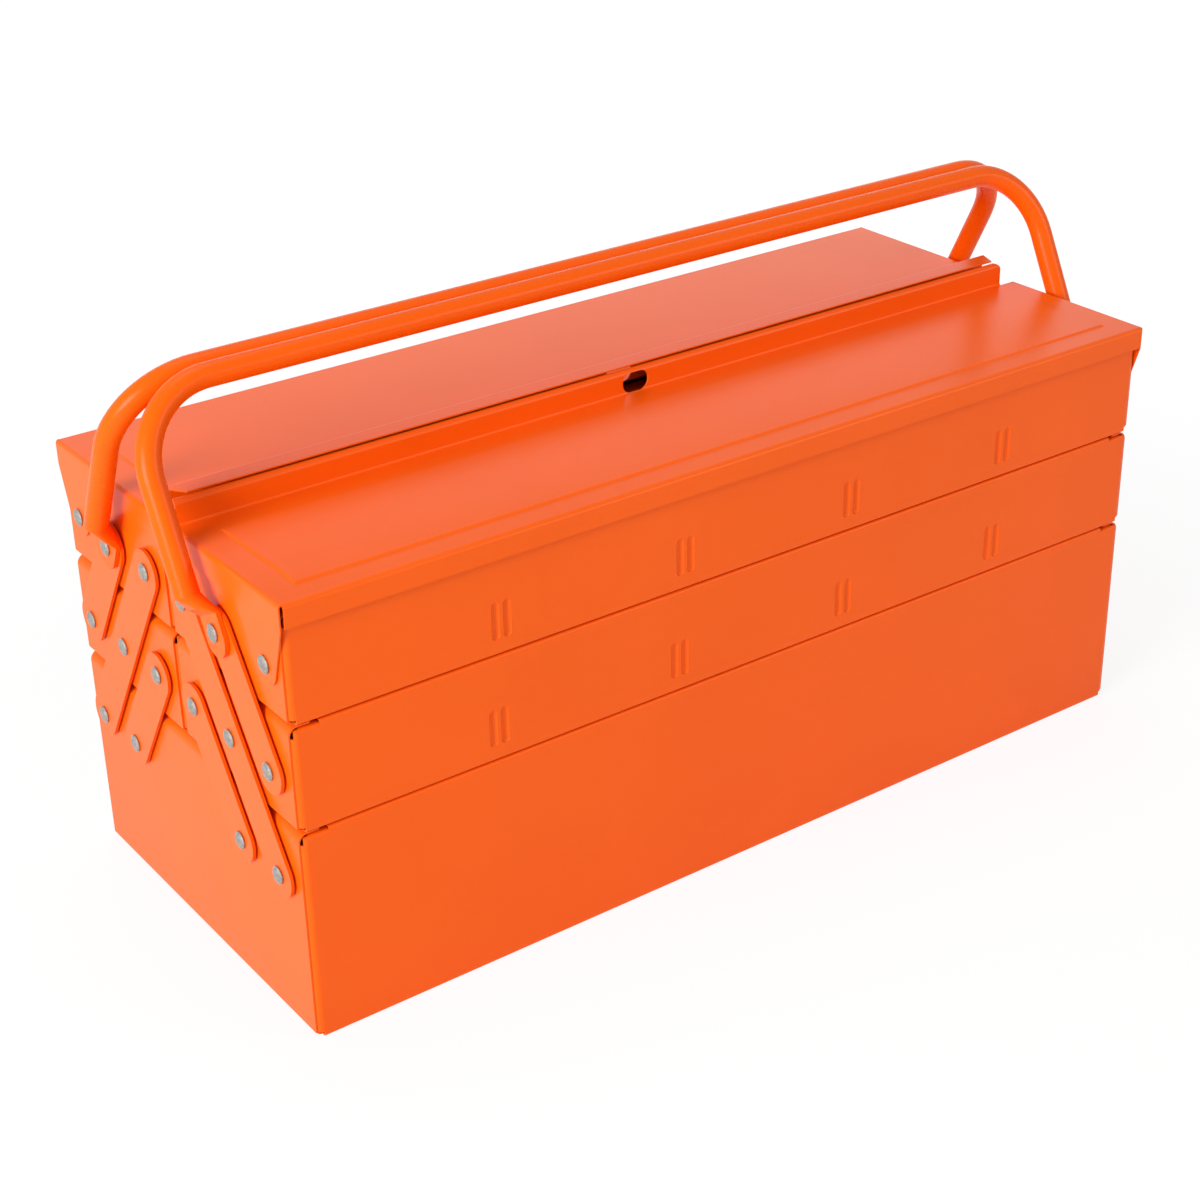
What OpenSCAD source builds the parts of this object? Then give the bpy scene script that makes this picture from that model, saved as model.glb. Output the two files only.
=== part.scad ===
// Cantilever tool box in pressed sheet steel: a bottom box and, on each side,
// a middle and a top tray that swing out on flat arms, with a lid and a tube
// handle on each top tray. Millimetres, +Z up. The origin is the centre of the
// underside, X runs along the length and the front long side faces -Y.

/* [Body] */
// length over the end plates
body_l = 530; // [420:2:640]
// width over the long walls
body_w = 221.2; // [200:0.2:260]
// height of the bottom box
box_h = 112.6; // [90:0.2:150]
// height of one tray
tray_h = 54.55; // [48:0.05:70]
// air between two stacked levels
level_gap = 0.7; // [0.3:0.1:1]
// gap along the middle between front and back trays
seam_gap = 1.2; // [0.8:0.1:4]
// sheet thickness of box, trays and lids
sheet = 0.8; // [0.7:0.1:1]
// outside radius of the long folded edges
fold_r = 1.5; // [1.5:0.5:3]
// outside radius of the corners round each end
corner_r = 3; // [2:0.5:4]
// outside radius of the shoulder along each end
shoulder_r = 5; // [3:0.5:6]
// width of the rim turned in along the long walls
rim_w = 8; // [5:0.5:12]
// length at each end where the long rim is set down
rim_end_l = 15; // [12:1:30]
// how far the long rim is set down at each end
rim_drop = 1.6; // [1.2:0.1:2.5]
// width of the spot-welded tabs behind the end plates
tab_w = 10; // [6:0.5:10]

/* [Divider ribs] */
// number of rib pairs in each long wall of a tray
rib_pairs = 4; // [2:1:4]
// distance between two pairs of ribs
rib_pitch = 106.4; // [80:0.2:112]
// how far the middle trays' ribs sit to the right of the middle
rib_shift_mid = 2.4; // [-10:0.2:10]
// how far the top trays' ribs sit to the right of the middle
rib_shift_top = 6; // [-10:0.2:10]
// centre distance of the two ribs of a pair
rib_spread = 6.4; // [6:0.1:10]
// radius of the pressed rib
rib_r = 2.6; // [2.4:0.1:3]
// depth of the pressed rib
rib_depth = 1.3; // [1:0.1:1.6]
// height of the lower end of a rib over the tray's underside
rib_z = 10; // [6:0.5:12]
// straight length of a rib
rib_l = 15; // [8:1:20]

/* [Arms and rivets] */
// height of the lowest rivet row below the rim of the bottom box
row_drop = 28.6; // [24:0.1:34]
// distance of the innermost rivets from the middle plane
col_in = 19; // [17:0.5:22]
// distance of the outermost arm rivets from the long wall
col_inset = 18.6; // [18:0.2:20]
// distance of the lid rivets from the long wall
lid_inset = 15.6; // [15:0.2:16]
// width of the flat arms
arm_w = 23; // [18:0.5:24]
// thickness of the flat arms
arm_t = 1.6; // [1.5:0.1:2.5]
// side play between moving pieces on one rivet
play = 0.3; // [0.3:0.05:0.5]
// diameter of the rivet shanks
rivet_d = 5; // [4:0.1:6]
// diameter of the rivet heads
head_d = 9; // [8:0.5:10]
// thickness of the rivet heads
head_t = 1.1; // [0.8:0.1:1.5]
// diameter of the pressed bosses that hold the arms off the end plates
boss_d = 14; // [13:0.5:15]
// height of the pressed bosses
boss_h = 1; // [0.8:0.1:1]
// radial clearance of an arm, lid or handle on its rivet
run_clear = 0.05; // [0.03:0.01:0.08]

/* [Lids] */
// height of the lids' top face over the top trays' rims
lid_rise = 6.9; // [6:0.1:9]
// how far the lids stand out past the long walls
lid_out = 3.6; // [3:0.1:5]
// height of the lids' long skirts
skirt_h = 11.5; // [10:0.5:14]
// height of the lids' end flanges
flange_h = 12.5; // [11:0.5:15]
// air between end plate and lid flange
lid_air = 0.4; // [0.4:0.1:0.6]
// open slot at the lids' outer corners
lid_slot = 1.5; // [1:0.1:2.5]
// radius of the ear round the lid rivet
ear_r = 10; // [8:0.5:10]
// distance of the front lid's wall from the middle plane
wall_y = 15.5; // [14:0.5:17]
// height of the front lid's wall over the lid
wall_h = 12.5; // [12:0.5:16]
// air between the wall's top and the back lid's strip over it
strip_gap = 0.8; // [0.7:0.1:2]
// distance from the left end of the box to the end of wall and strip
ridge_end_l = 1; // [1:1:85]
// distance from the right end of the box to the end of wall and strip
ridge_end_r = 10; // [1:1:85]
// centre of the padlock hole along the length
lock_x = -5; // [-20:1:20]
// width of the padlock hole
lock_w = 16; // [12:0.5:20]
// height of the padlock hole
lock_h = 10.6; // [8:0.2:10.6]
// height of the raised panel on the lids
panel_h = 0.8; // [0.5:0.1:0.9]
// width of the panel's sloping border
panel_slope = 1.2; // [1:0.1:4]
// plain edge between the panel and the ends of the lid
panel_edge_x = 15; // [10:1:30]
// plain edge between the panel and the long sides of the lid
panel_edge_y = 15; // [8:1:20]

/* [Handles] */
// diameter of the handle tube
tube_d = 12; // [10:0.5:12]
// wall of the handle tube
tube_wall = 1.1; // [1:0.1:1.5]
// distance from the pivot to the middle of the grip
reach = 111; // [100:1:130]
// bend radius on the tube's centre line
bend_r = 40; // [30:1:45]
// distance from the end plate to the middle of the handle's leg
leg_out = 12; // [12:0.5:15]
// width of the flattened ends
flat_w = 19; // [16:0.5:20]
// air between the two grips
grip_gap = 0.6; // [0.6:0.1:2]

/* [Hidden] */
$fn = 48;
hull_fn = 32;
half_l = body_l / 2;
half_w = body_w / 2;
wrap_half = half_l - sheet;
seam = seam_gap / 2;
pitch = tray_h + level_gap;
mid_z = box_h + level_gap;
top_z = mid_z + pitch;
row_1 = box_h - row_drop;
row_2 = row_1 + pitch;
row_3 = row_2 + pitch;
col_out = half_w - col_inset;
col_pitch = (col_out - col_in) / 2;
col_mid = col_in + col_pitch;
lid_col = half_w - lid_inset;
lean = atan(col_pitch / pitch);
link = sqrt(col_pitch * col_pitch + pitch * pitch);
eps = 0.01;
cut = 20;

// faces of the stack on a rivet, measured from the middle of the box
boss_x = half_l + boss_h;
arm_x = boss_x + play;
arm_head_x = arm_x + arm_t + play;
flat_x = arm_head_x;
flat_t = 2 * tube_wall;
handle_head_x = flat_x + flat_t + play;
lid_x = half_l + lid_air;
lid_head_x = lid_x + sheet + play;
recess_d = boss_d - 3;
tail_d = 8;
tail_t = 0.75;
head_taper = 2;
fixed_d = rivet_d + 0.04;
run_d = rivet_d + 2 * run_clear;

// end plates
plate_inset = 1.8;
plate_foot = 2.6;
shoulder_w = 6;
notch_h = 5;
notch_w = 1.4;

// lids
lid_z = top_z + tray_h + lid_rise;
lid_half_w = half_w + lid_out;
ridge_l = half_l - ridge_end_l;
ridge_r = half_l - ridge_end_r;
skirt_r = 2.5;
flange_r = 1.9;
foot_r = 2;
crest_r = 2.5;
crest_w = 3.1;
lock_up = 0.3;
lid_in = lid_x + sheet - flange_r;
wall_end_r = 3.5;
strip_front = -wall_y + crest_w;
strip_w = 12;
riser_y = strip_front + strip_w;
strip_taper_l = 8;
strip_taper_r = 4.5;
ear_in = 23;

// handles
leg_x = half_l + leg_out;
grip_y = tube_d / 2 + grip_gap / 2;
handle_lean = asin((col_mid - grip_y) / reach);
flat_end = 2.5;
flat_top = 8.5;
pinch_z = 12.5;
leg_foot = 19;
pinch_t = 8.5;
pinch_w = 15;
pinch_r = 3.5;

orange = [0.93, 0.33, 0.09];
steel = [0.72, 0.72, 0.71];

// a flat shape drawn as (y, z), run along X
module along_x(x0, x1) {
    translate([x0, 0, 0])
        rotate([90, 0, 90])
            linear_extrude(height = x1 - x0)
                children();
}

// a flat shape drawn as (x, z), run along Y
module along_y(y0, y1) {
    translate([0, y1, 0])
        rotate([90, 0, 0])
            linear_extrude(height = y1 - y0)
                children();
}

// a flat shape drawn as (x, y), run along Z
module along_z(z0, z1) {
    translate([0, 0, z0])
        linear_extrude(height = z1 - z0)
            children();
}

// a plain block between two corners
module block(x0, x1, y0, y1, z0, z1) {
    translate([x0, y0, z0])
        cube([x1 - x0, y1 - y0, z1 - z0]);
}

// a plain rectangle between two corners
module rect(a0, a1, b0, b1) {
    translate([a0, b0])
        square([a1 - a0, b1 - b0]);
}

// a rectangle with four round corners
module round_rect(a0, a1, b0, b1, r) {
    rect(a0 + r, a1 - r, b0, b1);
    rect(a0, a1, b0 + r, b1 - r);
    for (a = [a0 + r, a1 - r], b = [b0 + r, b1 - r])
        translate([a, b])
            circle(r);
}

// a quarter of a fold about (a, b), on the side that sa and sb point to
module fold(a, b, r, t, sa, sb) {
    translate([a, b])
        intersection() {
            difference() {
                circle(r);
                circle(r - t);
            }
            rect(min(0, sa * r), max(0, sa * r), min(0, sb * r), max(0, sb * r));
        }
}

// a round bar along X from x0 to x1, centred on (y, z)
module bar_x(x0, x1, y, z, d) {
    translate([x0, y, z])
        rotate([0, 90, 0])
            cylinder(d = d, h = x1 - x0);
}

// the outline of a box or tray as a solid, shrunk by an inset
module core(y0, y1, z0, h, inset) {
    r = corner_r - inset;
    x = wrap_half - inset;
    intersection() {
        along_x(-x, x)
            round_rect(y0 + inset, y1 - inset, z0 + inset, z0 + h - inset, fold_r - inset);
        along_y(y0 + inset, y1 - inset)
            round_rect(-x, x, z0 + inset, z0 + h - inset, r);
        along_z(z0 + inset, z0 + h - inset)
            round_rect(-x, x, y0 + inset, y1 - inset, r);
    }
}

// the two parts of a box or tray: its ends with the low rim, its middle full height
module stepped_core(y0, y1, z0, h, inset) {
    x = half_l - rim_end_l;
    core(y0, y1, z0, h - rim_drop, inset);
    intersection() {
        core(y0, y1, z0, h, inset);
        block(-x, x, y0, y1, z0, z0 + h);
    }
}

// everything beyond a distance x from the middle, at both ends
module beyond(x, y0, y1, z0, z1) {
    block(x, half_l + cut, y0, y1, z0, z1);
    block(-half_l - cut, -x, y0, y1, z0, z1);
}

// one sheet folded into floor, two long walls with turned-in rims and end tabs
module shell(y0, y1, z0, h) {
    top = z0 + h;
    edge = plate_inset - play;
    difference() {
        stepped_core(y0, y1, z0, h, 0);
        stepped_core(y0, y1, z0, h, sheet);
        block(-half_l, half_l, y0 + rim_w, y1 - rim_w, top - rim_drop - sheet - eps, top + cut);
        beyond(half_l - shoulder_r, y0 + edge, y1 - edge, top - shoulder_r, top + cut);
        beyond(wrap_half - notch_w, y0 - cut, y1 + cut, top - notch_h - sheet, top + cut);
        beyond(wrap_half - corner_r + sheet, y0 + tab_w, y1 - tab_w, z0 + tab_w, top + cut);
        for (s = [-1, 1], y = [y0, y1])
            translate([s * wrap_half, y, z0])
                cube(2 * corner_r, center = true);
    }
}

// a rod with round ends that shapes a pressed rib, at pair position x
module rib_rod(x, y, z0, r) {
    for (s = [-1, 1])
        translate([x + s * rib_spread / 2, y, z0 + rib_z]) {
            cylinder(r = r, h = rib_l);
            sphere(r);
            translate([0, 0, rib_l])
                sphere(r);
        }
}

// ribs pressed inwards in one long wall; side is -1 where the wall faces -Y
module ribs(y_face, z0, shift, side, inset) {
    for (i = [0 : rib_pairs - 1])
        rib_rod(
            shift + (i - (rib_pairs - 1) / 2) * rib_pitch,
            y_face + side * (rib_r - rib_depth), z0, rib_r + inset);
}

// a tray's folded sheet with the pressed ribs in both long walls
module tray_shell(z0, shift) {
    difference() {
        union() {
            shell(-half_w, -seam, z0, tray_h);
            intersection() {
                ribs(-half_w, z0, shift, -1, sheet);
                block(-half_l, half_l, -half_w + sheet / 2, -half_w + cut, z0, z0 + tray_h);
            }
            intersection() {
                ribs(-seam, z0, shift, 1, sheet);
                block(-half_l, half_l, -seam - cut, -seam - sheet / 2, z0, z0 + tray_h);
            }
        }
        ribs(-half_w, z0, shift, -1, 0);
        ribs(-seam, z0, shift, 1, 0);
    }
}

// section of an end plate at the +X end, drawn as (x, z)
module end_section(z0, h) {
    top = z0 + h;
    rect(half_l - sheet, half_l, z0 + plate_foot, top - shoulder_r);
    fold(half_l - shoulder_r, top - shoulder_r, shoulder_r, sheet, 1, 1);
    rect(half_l - shoulder_r - shoulder_w, half_l - shoulder_r, top - sheet, top);
}

// an end plate at the +X end with bosses and rivet holes
module end_plate(y0, y1, z0, h, row, boss_cols, plain_cols) {
    difference() {
        union() {
            along_y(y0 + plate_inset, y1 - plate_inset)
                end_section(z0, h);
            for (y = boss_cols)
                bar_x(half_l - eps, boss_x, y, row, boss_d);
        }
        for (y = boss_cols)
            bar_x(half_l - sheet - eps, half_l, y, row, recess_d);
        for (y = concat(boss_cols, plain_cols))
            bar_x(half_l - 2 * sheet, boss_x + sheet, y, row, fixed_d);
    }
}

// one rivet at the +X end: tail at tail_x, underside of the head at head_x
module rivet(y, z, tail_x, head_x) {
    bar_x(tail_x, head_x + head_t / 2, y, z, rivet_d);
    bar_x(tail_x, tail_x + tail_t, y, z, tail_d);
    bar_x(head_x, head_x + head_t / 2, y, z, head_d);
    translate([head_x + head_t / 2, y, z])
        rotate([0, 90, 0])
            cylinder(d1 = head_d, d2 = head_d - head_taper, h = head_t / 2);
}

// a flat arm from (y, z) upwards over n links, with its rivet holes
module arm(y, z, n) {
    along_x(arm_x, arm_x + arm_t)
        difference() {
            union() {
                translate([y, z])
                    rotate(-lean)
                        rect(-arm_w / 2, arm_w / 2, 0, n * link);
                for (i = [0, n])
                    translate([y + i * col_pitch, z + i * pitch])
                        circle(d = arm_w);
            }
            for (i = [0 : n])
                translate([y + i * col_pitch, z + i * pitch])
                    circle(d = run_d);
        }
}

// outline of a lid's end flange with its ear, drawn as (y, z) for the front
module flange_outline(y_out, y_in) {
    low = lid_z - flange_h;
    far = [y_out, low];
    near = [-lid_col + ear_in, low];
    pin = [-lid_col, row_3];
    t_far = tangent(far, pin, ear_r, 1);
    t_near = tangent(near, pin, ear_r, -1);
    rect(y_out, y_in, low, lid_z - flange_r);
    polygon([far, t_far, pin, t_near, near]);
    translate(pin)
        circle(ear_r);
}

// the point where a line from p touches the circle of radius r about c
function tangent(p, c, r, s) =
    let (dx = p[0] - c[0], dy = p[1] - c[1], d = sqrt(dx * dx + dy * dy))
    let (a = atan2(dy, dx) + s * acos(r / d))
    [c[0] + r * cos(a), c[1] + r * sin(a)];

// skirt, top and end flanges of a lid, drawn for the front
module lid_pan(y_in) {
    out = lid_half_w;
    along_x(-lid_in, lid_in) {
        rect(-out, -out + sheet, lid_z - skirt_h, lid_z - skirt_r);
        fold(-out + skirt_r, lid_z - skirt_r, skirt_r, sheet, -1, 1);
        rect(-out + skirt_r, y_in, lid_z - sheet, lid_z);
    }
    for (m = [0, 1])
        mirror([m, 0, 0])
            difference() {
                union() {
                    along_y(-out + lid_slot, y_in)
                        fold(lid_in, lid_z - flange_r, flange_r, sheet, 1, 1);
                    along_x(lid_x, lid_x + sheet)
                        flange_outline(-out + lid_slot, y_in);
                }
                bar_x(half_l, lid_x + 2 * sheet, -lid_col, row_3, run_d);
            }
}

// the raised panel's block, from base height zb upwards
module panel_block(y0, y1, zb) {
    x = lid_x - panel_edge_x;
    intersection() {
        along_x(-x, x)
            panel_section(y0, y1, zb);
        along_y(y0, y1)
            panel_section(-x, x, zb);
    }
}

module panel_section(a0, a1, zb) {
    s = panel_slope;
    up = zb + panel_h;
    polygon([[a0, zb - sheet / 2], [a1, zb - sheet / 2], [a1, zb], [a1 - s, up], [a0 + s, up], [a0, zb]]);
}

// a lid pan with the raised panel pressed into its top
module lid_with_panel(y_in, y_edge) {
    y0 = -lid_half_w + panel_edge_y;
    y1 = y_edge - panel_edge_y;
    difference() {
        union() {
            lid_pan(y_in);
            panel_block(y0, y1, lid_z);
        }
        panel_block(y0, y1, lid_z - sheet);
    }
}

// the oblong padlock hole through wall and riser
module lock_hole() {
    z0 = lid_z + lock_up;
    x0 = lock_x - lock_w / 2;
    along_y(-wall_y - foot_r, foot_r)
        round_rect(x0, x0 + lock_w, z0, z0 + lock_h, lock_h / 2 - lock_up);
}

module front_lid_shape() {
    y = -wall_y;
    top = lid_z + wall_h;
    difference() {
        union() {
            lid_with_panel(y - foot_r + sheet, y);
            intersection() {
                along_x(-ridge_l, ridge_r) {
                    fold(y + sheet - foot_r, lid_z - sheet + foot_r, foot_r, sheet, 1, -1);
                    rect(y, y + sheet, lid_z - sheet + foot_r, top - crest_r);
                    fold(y + crest_r, top - crest_r, crest_r, sheet, -1, 1);
                    rect(y + crest_r, y + crest_w, top - sheet, top);
                }
                along_y(y - cut, cut)
                    round_rect(-ridge_l - cut, ridge_r, lid_z - cut, top, wall_end_r);
            }
        }
        lock_hole();
    }
}

// plan of riser and strip, tapering towards the strip's front edge
module strip_outline() {
    polygon([
        [-ridge_l, cut], [-ridge_l, riser_y], [-ridge_l + strip_taper_l, strip_front],
        [ridge_r - strip_taper_r, strip_front], [ridge_r, riser_y], [ridge_r, cut]
    ]);
}

module back_lid_shape() {
    y = riser_y;
    top = lid_z + wall_h + strip_gap + sheet;
    difference() {
        union() {
            mirror([0, 1, 0])
                lid_with_panel(-y - foot_r + sheet, -y);
            intersection() {
                along_x(-ridge_l, ridge_r) {
                    fold(y - sheet + foot_r, lid_z - sheet + foot_r, foot_r, sheet, -1, -1);
                    rect(y - sheet, y, lid_z - sheet + foot_r, top - foot_r);
                    fold(y - foot_r, top - foot_r, foot_r, sheet, 1, 1);
                    rect(strip_front, y - foot_r, top - sheet, top);
                }
                along_z(lid_z - cut, top + cut)
                    strip_outline();
            }
        }
        lock_hole();
    }
}

// one leg of a handle at the +X end, upright over its pivot
module leg() {
    translate([leg_x, 0, leg_foot])
        cylinder(d = tube_d, h = reach - bend_r - leg_foot);
    hull() {
        translate([leg_x, 0, leg_foot])
            cylinder(d = tube_d, h = eps, $fn = hull_fn);
        pinch();
    }
    hull() {
        pinch();
        block(flat_x, flat_x + flat_t, -flat_w / 2, flat_w / 2, flat_top, flat_top + eps);
    }
    along_x(flat_x, flat_x + flat_t) {
        rect(-flat_w / 2, flat_w / 2, -flat_end, flat_top);
        translate([0, -flat_end])
            circle(d = flat_w);
    }
}

// the half-flattened section between round leg and flat end
module pinch() {
    along_z(pinch_z, pinch_z + eps)
        round_rect(flat_x, flat_x + pinch_t, -pinch_w / 2, pinch_w / 2, pinch_r, $fn = hull_fn);
}

// the round run of a handle above its flattened ends, at diameter d
module tube_run(d) {
    bar_x(-leg_x + bend_r, leg_x - bend_r, 0, reach, d);
    for (m = [0, 1])
        mirror([m, 0, 0])
            translate([leg_x - bend_r, 0, reach - bend_r])
                rotate([90, 0, 0])
                    rotate_extrude(angle = 90)
                        translate([bend_r, 0])
                            circle(d = d);
}

// the front handle leaning on the middle plane
module handle_shape() {
    translate([0, -col_mid, row_3])
        rotate([-handle_lean, 0, 0])
            difference() {
                union() {
                    tube_run(tube_d);
                    leg();
                    mirror([1, 0, 0])
                        leg();
                }
                tube_run(tube_d - 2 * tube_wall);
                for (m = [0, 1])
                    mirror([m, 0, 0]) {
                        bar_x(half_l, leg_x + tube_d, 0, 0, run_d);
                        translate([leg_x, 0, leg_foot])
                            cylinder(d = tube_d - 2 * tube_wall, h = reach - bend_r - leg_foot);
                    }
            }
}

module both_ends() {
    children();
    mirror([1, 0, 0])
        children();
}

module left_end() {
    mirror([1, 0, 0])
        children();
}

module back_side() {
    mirror([0, 1, 0])
        children();
}

module bottom_plate() {
    end_plate(-half_w, half_w, 0, box_h, row_1, [-col_out, -col_mid, col_mid, col_out], []);
}

module middle_plate() {
    end_plate(-half_w, -seam, mid_z, tray_h, row_2, [-col_out, -col_mid, -col_in], []);
}

module top_plate() {
    end_plate(-half_w, -seam, top_z, tray_h, row_3, [-col_mid, -col_in], [-lid_col]);
}

module middle_rivets() {
    both_ends()
        for (y = [-col_out, -col_mid, -col_in])
            rivet(y, row_2, half_l - sheet, arm_head_x);
}

module top_rivets() {
    both_ends() {
        rivet(-col_in, row_3, half_l - sheet, arm_head_x);
        rivet(-col_mid, row_3, half_l - sheet, handle_head_x);
        rivet(-lid_col, row_3, half_l - 2 * sheet, lid_head_x);
    }
}

module bottom_shell() color(orange) shell(-half_w, half_w, 0, box_h);
module bottom_end_left() color(orange) left_end() bottom_plate();
module bottom_end_right() color(orange) bottom_plate();
module bottom_rivets() color(steel) both_ends()
    for (y = [-col_out, -col_mid, col_mid, col_out])
        rivet(y, row_1, half_l - sheet, arm_head_x);
module front_middle_shell() color(orange) tray_shell(mid_z, rib_shift_mid);
module front_middle_end_left() color(orange) left_end() middle_plate();
module front_middle_end_right() color(orange) middle_plate();
module front_middle_rivets() color(steel) middle_rivets();
module front_top_shell() color(orange) tray_shell(top_z, rib_shift_top);
module front_top_end_left() color(orange) left_end() top_plate();
module front_top_end_right() color(orange) top_plate();
module front_top_rivets() color(steel) top_rivets();
module back_middle_shell() color(orange) back_side() tray_shell(mid_z, rib_shift_mid);
module back_middle_end_left() color(orange) back_side() left_end() middle_plate();
module back_middle_end_right() color(orange) back_side() middle_plate();
module back_middle_rivets() color(steel) back_side() middle_rivets();
module back_top_shell() color(orange) back_side() tray_shell(top_z, rib_shift_top);
module back_top_end_left() color(orange) back_side() left_end() top_plate();
module back_top_end_right() color(orange) back_side() top_plate();
module back_top_rivets() color(steel) back_side() top_rivets();
module front_long_arm_left() color(orange) left_end() arm(-col_out, row_1, 2);
module front_long_arm_right() color(orange) arm(-col_out, row_1, 2);
module front_lower_arm_left() color(orange) left_end() arm(-col_mid, row_1, 1);
module front_lower_arm_right() color(orange) arm(-col_mid, row_1, 1);
module front_upper_arm_left() color(orange) left_end() arm(-col_out, row_2, 1);
module front_upper_arm_right() color(orange) arm(-col_out, row_2, 1);
module back_long_arm_left() color(orange) back_side() left_end() arm(-col_out, row_1, 2);
module back_long_arm_right() color(orange) back_side() arm(-col_out, row_1, 2);
module back_lower_arm_left() color(orange) back_side() left_end() arm(-col_mid, row_1, 1);
module back_lower_arm_right() color(orange) back_side() arm(-col_mid, row_1, 1);
module back_upper_arm_left() color(orange) back_side() left_end() arm(-col_out, row_2, 1);
module back_upper_arm_right() color(orange) back_side() arm(-col_out, row_2, 1);
module front_lid() color(orange) front_lid_shape();
module back_lid() color(orange) back_lid_shape();
module front_handle() color(orange) handle_shape();
module back_handle() color(orange) back_side() handle_shape();

bottom_shell();
bottom_end_left();
bottom_end_right();
bottom_rivets();
front_middle_shell();
front_middle_end_left();
front_middle_end_right();
front_middle_rivets();
front_top_shell();
front_top_end_left();
front_top_end_right();
front_top_rivets();
back_middle_shell();
back_middle_end_left();
back_middle_end_right();
back_middle_rivets();
back_top_shell();
back_top_end_left();
back_top_end_right();
back_top_rivets();
front_long_arm_left();
front_long_arm_right();
front_lower_arm_left();
front_lower_arm_right();
front_upper_arm_left();
front_upper_arm_right();
back_long_arm_left();
back_long_arm_right();
back_lower_arm_left();
back_lower_arm_right();
back_upper_arm_left();
back_upper_arm_right();
front_lid();
back_lid();
front_handle();
back_handle();
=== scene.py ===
import bpy
from mathutils import Matrix, Vector

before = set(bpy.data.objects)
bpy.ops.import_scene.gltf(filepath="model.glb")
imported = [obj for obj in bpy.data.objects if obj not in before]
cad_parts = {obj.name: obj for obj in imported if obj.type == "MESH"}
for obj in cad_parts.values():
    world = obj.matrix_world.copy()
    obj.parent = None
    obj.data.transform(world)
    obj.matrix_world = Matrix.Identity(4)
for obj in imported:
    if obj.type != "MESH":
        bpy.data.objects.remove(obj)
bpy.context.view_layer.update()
scene = bpy.context.scene

WHITE = (1.0, 1.0, 1.0, 1.0)

# camera, solved from the photo
SENSOR_MM = 36.0
LENS_MM = 67.149
FAR_CLIP = 60.0
CAMERA_PLACE = Matrix((
    (0.80756809, 0.28352235, -0.51715458, -0.6418918),
    (-0.58950345, 0.36147011, -0.72237458, -0.8701216),
    (-0.01787341, 0.88823107, 0.45904913, 0.6610446),
    (0.0, 0.0, 0.0, 1.0)))

# part of a noise's output that most of it lies in
NOISE_SPAN = (0.3, 0.7)

# orange powder coat, colours in linear light
PAINT_DEEP = (0.90, 0.110, 0.002)
PAINT_BRIGHT = (0.94, 0.118, 0.003)
PAINT_IOR = 1.5
CLOUD_SCALE = 9.0
FINE_SCALE = 160.0
PEEL_SCALE = 520.0
PEEL_DEPTH = 0.0002
GRAIN_SCALE = 3200.0
GRAIN_STRENGTH = 0.10
GRAIN_DEPTH = 0.00006

# zinc plating of the rivets
ZINC_DARK = (0.26, 0.25, 0.23)
ZINC_LIGHT = (0.46, 0.44, 0.41)
ZINC_METALLIC = 0.85
ZINC_ROUGHNESS = (0.34, 0.55)
BLOTCH_SCALE = 700.0
BLOTCH_SPAN = (0.32, 0.68)
BLOTCH_STRENGTH = 0.25
BLOTCH_DEPTH = 0.0002
SCRATCH_SCALE = 2500.0

# floor: near the box it shows its shadow, further out it is plain white
FLOOR_HALF = 14.0
FLOOR_Z = -0.0004
FLOOR_ROUGHNESS = 0.9
FLOOR_SPECULAR = 0.1
FLOOR_TONE_SCALE = 3.0
FLOOR_DARK = (0.88, 0.88, 0.88)
FLOOR_LIGHT = (0.90, 0.90, 0.90)
FLOOR_FADE_AT = (0.38, 0.9)
FLOOR_FADE = (0.82, 1.0)
FLOOR_GLOW = 1.04

# world: soft light on the object, white where it is seen
WORLD_SOFT = 0.34
WORLD_SEEN = 1.0

# name, place, target, size, power
LIGHTS = [
    ("key", (-2.18, -0.58, 0.98), (0, 0, 0.12), (1.1, 0.9), 55.0),
    ("fill", (1.45, -1.95, 1.0), (0.1, 0, 0.12), (1.1, 0.6), 14.0),
    ("top", (0.10, 0.50, 2.15), (0, 0, 0.2), (1.0, 1.0), 8.8),
    ("back", (0.90, 1.90, 0.72), (0, 0.05, 0.23), (2.4, 0.6), 3.2),
]


# ---------------------------------------------------------------- camera
def make_camera():
    data = bpy.data.cameras.new("camera")
    data.sensor_fit = "HORIZONTAL"
    data.sensor_width = SENSOR_MM
    data.lens = LENS_MM
    data.clip_end = FAR_CLIP
    cam = bpy.data.objects.new("camera", data)
    scene.collection.objects.link(cam)
    cam.matrix_world = CAMERA_PLACE
    scene.camera = cam


make_camera()


# ---------------------------------------------------------------- materials
def new_material(name):
    mat = bpy.data.materials.new(name)
    mat.use_nodes = True
    tree = mat.node_tree
    tree.nodes.clear()
    out = tree.nodes.new("ShaderNodeOutputMaterial")
    bsdf = tree.nodes.new("ShaderNodeBsdfPrincipled")
    tree.links.new(bsdf.outputs["BSDF"], out.inputs["Surface"])
    return mat, tree, bsdf


def object_coords(tree):
    return tree.nodes.new("ShaderNodeTexCoord").outputs["Object"]


def noise(tree, coords, scale, detail=3.0, rough=0.5, distortion=0.0):
    n = tree.nodes.new("ShaderNodeTexNoise")
    n.inputs["Scale"].default_value = scale
    n.inputs["Detail"].default_value = detail
    n.inputs["Roughness"].default_value = rough
    n.inputs["Distortion"].default_value = distortion
    tree.links.new(coords, n.inputs["Vector"])
    return n.outputs["Fac"]


def remap(tree, value, span, out_span):
    n = tree.nodes.new("ShaderNodeMapRange")
    n.inputs["From Min"].default_value = span[0]
    n.inputs["From Max"].default_value = span[1]
    n.inputs["To Min"].default_value = out_span[0]
    n.inputs["To Max"].default_value = out_span[1]
    tree.links.new(value, n.inputs["Value"])
    return n.outputs["Result"]


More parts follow.
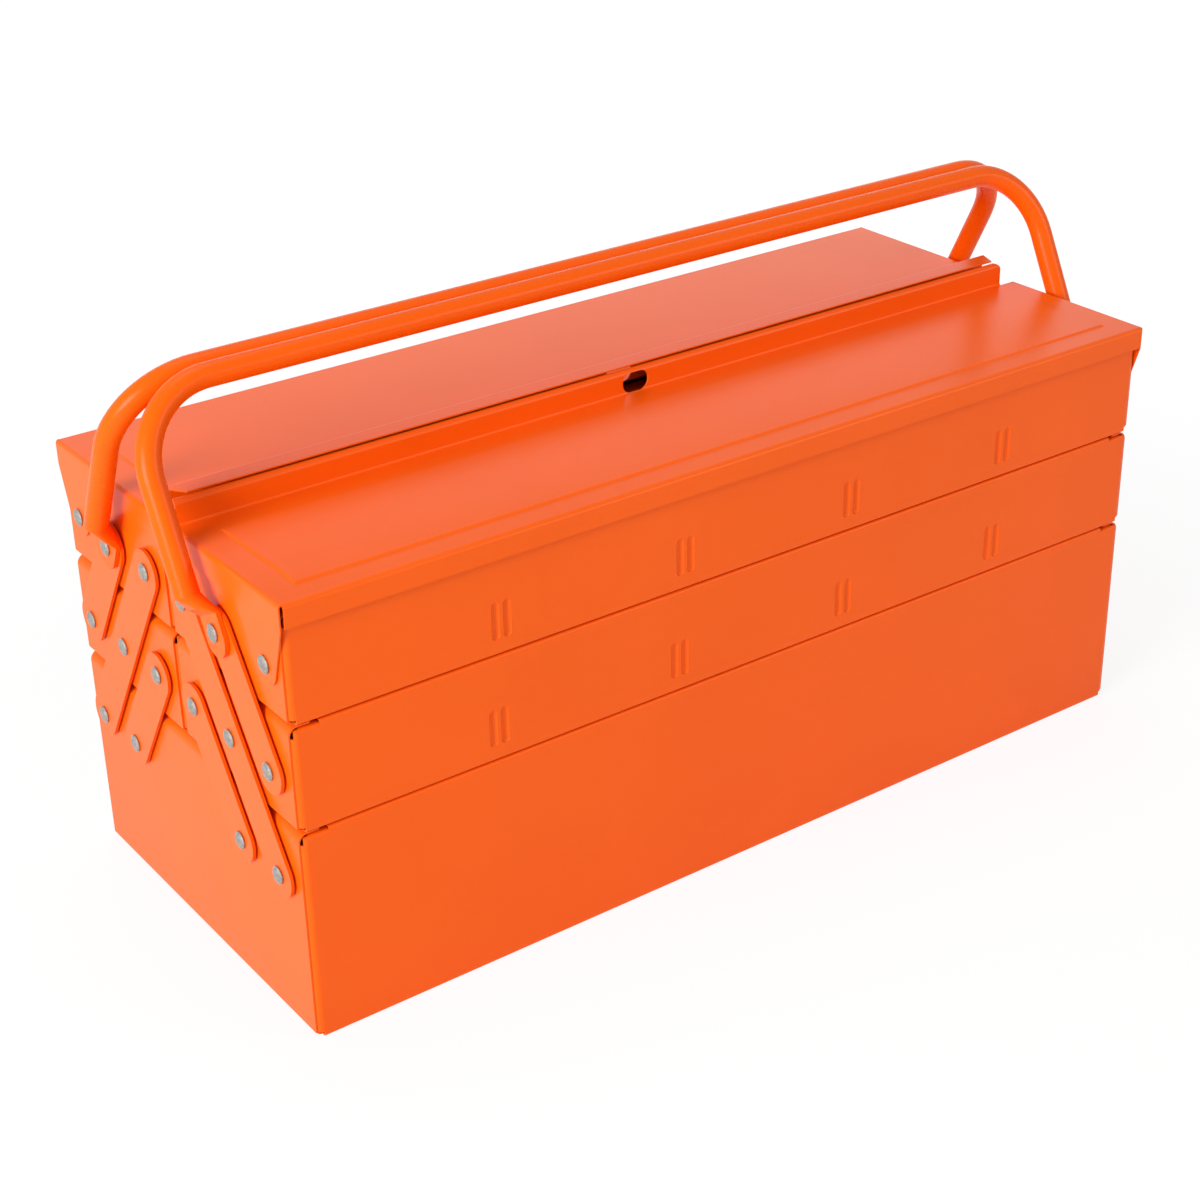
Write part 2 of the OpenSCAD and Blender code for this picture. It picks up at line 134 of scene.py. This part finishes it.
def mix_colours(tree, fac, a, b):
    n = tree.nodes.new("ShaderNodeMix")
    n.data_type = "RGBA"
    # sockets 6, 7 and output 2 are the node's colour ones
    n.inputs[6].default_value = (*a, 1.0)
    n.inputs[7].default_value = (*b, 1.0)
    tree.links.new(fac, n.inputs[0])
    return n.outputs[2]


def mix_shaders(tree, fac, a, b, out):
    mix = tree.nodes.new("ShaderNodeMixShader")
    tree.links.new(fac, mix.inputs["Fac"])
    tree.links.new(a, mix.inputs[1])
    tree.links.new(b, mix.inputs[2])
    tree.links.new(mix.outputs["Shader"], out.inputs["Surface"])


def math_node(tree, operation, a, b):
    n = tree.nodes.new("ShaderNodeMath")
    n.operation = operation
    tree.links.new(a, n.inputs[0])
    tree.links.new(b, n.inputs[1])
    return n.outputs[0]


def bump(tree, height, strength, distance, normal=None):
    n = tree.nodes.new("ShaderNodeBump")
    n.inputs["Strength"].default_value = strength
    n.inputs["Distance"].default_value = distance
    tree.links.new(height, n.inputs["Height"])
    if normal is not None:
        tree.links.new(normal, n.inputs["Normal"])
    return n.outputs["Normal"]


def powder_coat(name, peel_strength, roughness, gloss):
    """Orange powder coat: a faint cloudiness, a fine grain and a soft orange-peel skin."""
    mat, tree, bsdf = new_material(name)
    pos = object_coords(tree)
    cloud = noise(tree, pos, CLOUD_SCALE, 4.0, 0.55)
    share = remap(tree, cloud, NOISE_SPAN, (0.0, 1.0))
    colour = mix_colours(tree, share, PAINT_DEEP, PAINT_BRIGHT)
    tree.links.new(colour, bsdf.inputs["Base Color"])
    fine = noise(tree, pos, FINE_SCALE, 3.0, 0.6)
    tree.links.new(remap(tree, fine, NOISE_SPAN, roughness), bsdf.inputs["Roughness"])
    peel = noise(tree, pos, PEEL_SCALE, 2.0, 0.5, 0.3)
    grain = noise(tree, pos, GRAIN_SCALE, 2.0, 0.6)
    skin = bump(tree, peel, peel_strength, PEEL_DEPTH)
    normal = bump(tree, grain, GRAIN_STRENGTH, GRAIN_DEPTH, skin)
    tree.links.new(normal, bsdf.inputs["Normal"])
    bsdf.inputs["IOR"].default_value = PAINT_IOR
    bsdf.inputs["Specular IOR Level"].default_value = gloss
    return mat


def zinc(name):
    """Zinc-plated steel: mottled grey with fine scratches."""
    mat, tree, bsdf = new_material(name)
    pos = object_coords(tree)
    blotch = noise(tree, pos, BLOTCH_SCALE, 4.0, 0.6, 0.5)
    share = remap(tree, blotch, BLOTCH_SPAN, (0.0, 1.0))
    colour = mix_colours(tree, share, ZINC_DARK, ZINC_LIGHT)
    tree.links.new(colour, bsdf.inputs["Base Color"])
    bsdf.inputs["Metallic"].default_value = ZINC_METALLIC
    fine = noise(tree, pos, SCRATCH_SCALE, 3.0, 0.6)
    tree.links.new(remap(tree, fine, NOISE_SPAN, ZINC_ROUGHNESS), bsdf.inputs["Roughness"])
    normal = bump(tree, blotch, BLOTCH_STRENGTH, BLOTCH_DEPTH)
    tree.links.new(normal, bsdf.inputs["Normal"])
    return mat


sheet_paint = powder_coat("orange_sheet", 0.02, (0.29, 0.32), 0.17)
arm_paint = powder_coat("orange_arm", 0.03, (0.29, 0.33), 0.20)
tube_paint = powder_coat("orange_tube", 0.08, (0.25, 0.30), 0.10)
rivet_metal = zinc("rivet_zinc")

for node_name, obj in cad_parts.items():
    if "rivets" in node_name:
        mat = rivet_metal
    elif "_arm_" in node_name:
        mat = arm_paint
    elif "handle" in node_name:
        mat = tube_paint
    else:
        mat = sheet_paint
    obj.data.materials.clear()
    obj.data.materials.append(mat)


# ---------------------------------------------------------------- studio
def seen_rays(tree):
    """1 for the rays that show floor or background directly, in gloss or through glass."""
    path = tree.nodes.new("ShaderNodeLightPath").outputs
    seen = math_node(tree, "MAXIMUM", path["Is Camera Ray"], path["Is Glossy Ray"])
    return math_node(tree, "MAXIMUM", seen, path["Is Transmission Ray"])


def make_floor():
    s = FLOOR_HALF
    mesh = bpy.data.meshes.new("floor")
    mesh.from_pydata([(-s, -s, 0), (s, -s, 0), (s, s, 0), (-s, s, 0)], [], [(0, 1, 2, 3)])
    floor = bpy.data.objects.new("floor", mesh)
    floor.location.z = FLOOR_Z
    scene.collection.objects.link(floor)
    mat, tree, bsdf = new_material("floor_paint")
    bsdf.inputs["Roughness"].default_value = FLOOR_ROUGHNESS
    bsdf.inputs["Specular IOR Level"].default_value = FLOOR_SPECULAR
    tone = noise(tree, object_coords(tree), FLOOR_TONE_SCALE, 2.0)
    colour = mix_colours(tree, tone, FLOOR_DARK, FLOOR_LIGHT)
    tree.links.new(colour, bsdf.inputs["Base Color"])
    away = tree.nodes.new("ShaderNodeVectorMath")
    away.operation = "LENGTH"
    tree.links.new(object_coords(tree), away.inputs[0])
    fade = remap(tree, away.outputs["Value"], FLOOR_FADE_AT, FLOOR_FADE)
    share = math_node(tree, "MULTIPLY", seen_rays(tree), fade)
    glow = tree.nodes.new("ShaderNodeEmission")
    glow.inputs["Color"].default_value = WHITE
    glow.inputs["Strength"].default_value = FLOOR_GLOW
    mix_shaders(tree, share, bsdf.outputs["BSDF"], glow.outputs["Emission"],
                tree.nodes["Material Output"])
    mesh.materials.append(mat)


def background(tree, strength):
    n = tree.nodes.new("ShaderNodeBackground")
    n.inputs["Color"].default_value = WHITE
    n.inputs["Strength"].default_value = strength
    return n.outputs["Background"]


def make_world():
    world = bpy.data.worlds.new("studio")
    scene.world = world
    world.use_nodes = True
    tree = world.node_tree
    tree.nodes.clear()
    out = tree.nodes.new("ShaderNodeOutputWorld")
    mix_shaders(tree, seen_rays(tree), background(tree, WORLD_SOFT),
                background(tree, WORLD_SEEN), out)


def area_light(name, where, target, size, power):
    data = bpy.data.lights.new(name, "AREA")
    data.shape = "RECTANGLE"
    data.size, data.size_y = size
    data.energy = power
    obj = bpy.data.objects.new(name, data)
    scene.collection.objects.link(obj)
    away = Vector(where) - Vector(target)
    obj.rotation_mode = "QUATERNION"
    obj.rotation_quaternion = away.to_track_quat("Z", "Y")
    obj.location = where


make_floor()
make_world()
for light in LIGHTS:
    area_light(*light)

scene.view_settings.view_transform = "Standard"
